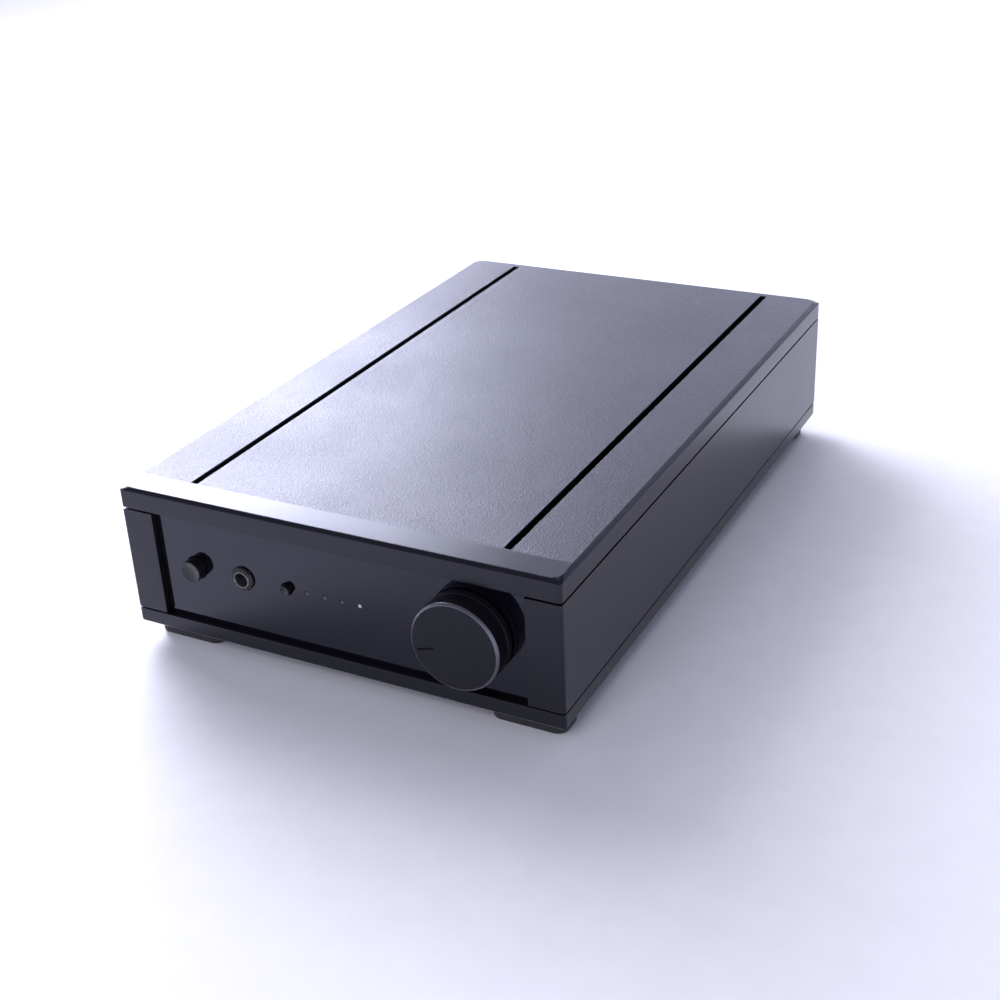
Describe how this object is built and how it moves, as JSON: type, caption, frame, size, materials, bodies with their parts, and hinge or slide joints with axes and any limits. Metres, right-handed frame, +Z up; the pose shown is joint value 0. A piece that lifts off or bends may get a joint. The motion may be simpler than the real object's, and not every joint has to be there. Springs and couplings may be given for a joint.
{
  "type": "headphone amplifier",
  "caption": "Low half-width black case with slotted lid, recessed gloss front with volume knob, push buttons, headphone socket and lamps, phono sockets and mains inlet behind.",
  "frame": {"origin": "on the surface under the feet, below the middle of the whole length and width", "axes": "+X to the right seen from the front, +Y towards the rear sockets, +Z up; the controls face -Y"},
  "size_m": [0.216, 0.356, 0.078],
  "materials": {
    "case_paint": "fine textured satin black paint",
    "panel_gloss": "polished black acrylic",
    "rear_paint": "satin black powder coat",
    "sheet_steel": "zinc plated sheet",
    "screw_steel": "zinc plated",
    "screw_black": "black zinc",
    "foot_rubber": "moulded matt black rubber",
    "knob_anodised": "black anodised, fine bead blast",
    "pointer_black": "gloss black filled line",
    "shaft_steel": "ground",
    "nickel": "bright nickel",
    "bush_brass": "turned",
    "button_black": "moulded satin black",
    "socket_black": "moulded black",
    "plunger_white": "moulded white",
    "lamp_clear": "clear light pipe, unlit",
    "lamp_lit": "clear light pipe, lit white",
    "board_green": "glass fibre board with green resist",
    "insulator_red": "moulded red",
    "insulator_white": "moulded white",
    "transformer_wrap": "wound core and copper under amber tape",
    "can_sleeve": "printed plastic sleeve over a can, no marks",
    "sink_aluminium": "black anodised extrusion",
    "package_black": "moulded epoxy",
    "ribbon_grey": "grey flat cable",
    "lead_sleeve": "black sleeving",
    "fuse_glass": "clear glass tube"
  },
  "bodies": {
    "case": {"base_tray": "case_paint", "board_screws": "screw_steel", "board_standoffs": "bush_brass", "case_screws": "screw_black", "filter_capacitors": "can_sleeve", "foot_front_left": "foot_rubber", "foot_front_right": "foot_rubber", "foot_rear_left": "foot_rubber", "foot_rear_right": "foot_rubber", "foot_screws": "screw_black", "front_board": "board_green", "front_panel": "panel_gloss", "front_subpanel": "sheet_steel", "headphone_socket_body": "socket_black", "headphone_socket_bush": "nickel", "headphone_socket_nut": "socket_black", "heat_sink": "sink_aluminium", "inlet_pins": "nickel", "input_lamp_1": "lamp_clear", "input_lamp_2": "lamp_clear", "input_lamp_3": "lamp_clear", "input_lamp_4": "lamp_lit", "input_relays": "package_black", "internal_leads": "lead_sleeve", "lid": "case_paint", "line_housings": "socket_black", "line_insulators_red": "insulator_red", "line_insulators_white": "insulator_white", "line_sleeves": "nickel", "main_board": "board_green", "mains_inlet": "socket_black", "output_transistors": "package_black", "potentiometer_bush": "bush_brass", "potentiometer_nut": "nickel", "power_switch": "socket_black", "power_switch_bracket": "sheet_steel", "rear_panel": "rear_paint", "rear_screws": "screw_black", "rectifier": "package_black", "ribbon_cable": "ribbon_grey", "ribbon_connectors": "socket_black", "selector_switch": "socket_black", "side_wall_left": "case_paint", "side_wall_right": "case_paint", "small_capacitors": "can_sleeve", "supply_board": "board_green", "toroidal_transformer": "transformer_wrap", "transformer_bolt": "sheet_steel", "transformer_dish": "sheet_steel", "transformer_pads": "foot_rubber", "volume_potentiometer": "socket_black"},
    "volume": {"volume_knob": "knob_anodised", "knob_pointer": "pointer_black", "knob_grub_screw": "screw_steel", "volume_shaft": "shaft_steel"},
    "power_push": {"power_button": "button_black", "power_plunger": "plunger_white"},
    "selector_push": {"selector_button": "button_black"},
    "fuse_tray": {"fuse_drawer": "socket_black", "fuse": "fuse_glass"}
  },
  "joints": [
    {"name": "volume_turn", "type": "hinge", "parent": "case", "child": "volume", "pos_m": [0.0644, -0.165, 0.0428], "axis": [0, 1, 0], "range_deg": [-45, 255]},
    {"name": "power_press", "type": "slide", "parent": "case", "child": "power_push", "axis": [0, 1, 0], "range_m": [0, 0.003], "stiffness_N_per_m": 600, "springref_m": -0.001},
    {"name": "selector_press", "type": "slide", "parent": "case", "child": "selector_push", "axis": [0, 1, 0], "range_m": [0, 0.001], "stiffness_N_per_m": 900, "springref_m": -0.0008},
    {"name": "fuse_tray_slide", "type": "slide", "parent": "case", "child": "fuse_tray", "axis": [0, 1, 0], "range_m": [0, 0.015]}
  ]
}
